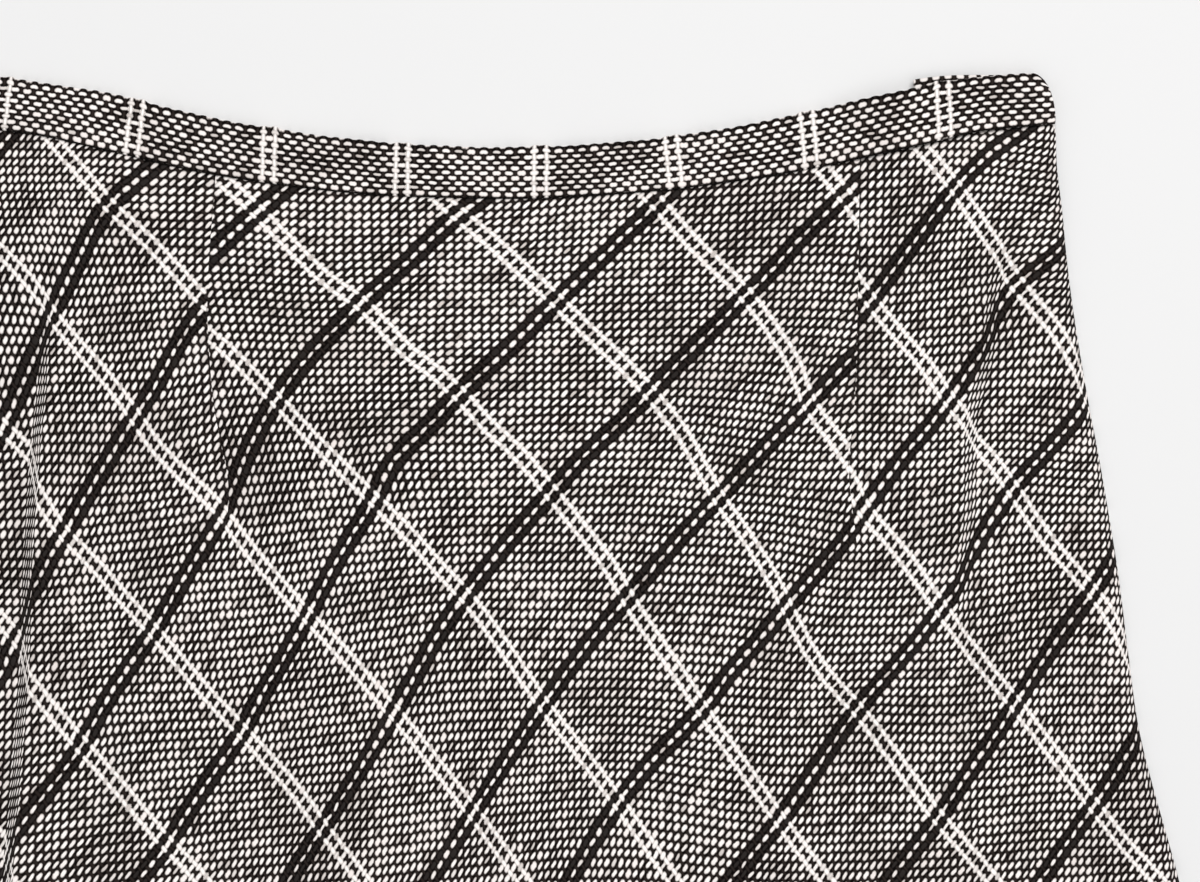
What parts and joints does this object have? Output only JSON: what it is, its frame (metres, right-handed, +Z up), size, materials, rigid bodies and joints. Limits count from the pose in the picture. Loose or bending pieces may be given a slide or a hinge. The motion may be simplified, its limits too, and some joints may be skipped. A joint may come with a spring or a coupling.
{
  "type": "maxi skirt",
  "caption": "Bias-cut A-line maxi skirt in a black and white windowpane weave, laid flat, with front darts, a narrow straight-grain waistband and a side zip",
  "frame": {"origin": "centre of the bottom of the box round the skirt, on the surface that it lies on", "axes": "+Y runs up the skirt to the waistband, +X across it to the side with the zip (the right side in the picture, the wearer's left), +Z up out of the front panel"},
  "size_m": [0.848, 1, 0.0074],
  "materials": {
    "windowpane_cloth": "plain weave of black warp and slubby off-white weft with paired white and paired black lines, cut on the bias",
    "waistband_cloth": "the same weave on the straight grain",
    "zip_tape_cloth": "black woven tape",
    "black_coated_metal": "satin black coat"
  },
  "bodies": {
    "skirt": {"front_panel": "windowpane_cloth", "back_panel": "windowpane_cloth", "waistband_front": "waistband_cloth", "waistband_back": "waistband_cloth", "zip_tape": "zip_tape_cloth", "zip_slider": "black_coated_metal"},
    "pull": {"zip_pull": "black_coated_metal"}
  },
  "joints": [
    {"name": "pull_swing", "type": "hinge", "parent": "skirt", "child": "pull", "pos_m": [0.20864, 0.4718, 0.0018], "axis": [0, 0, 1], "range_deg": [0, 150]}
  ]
}
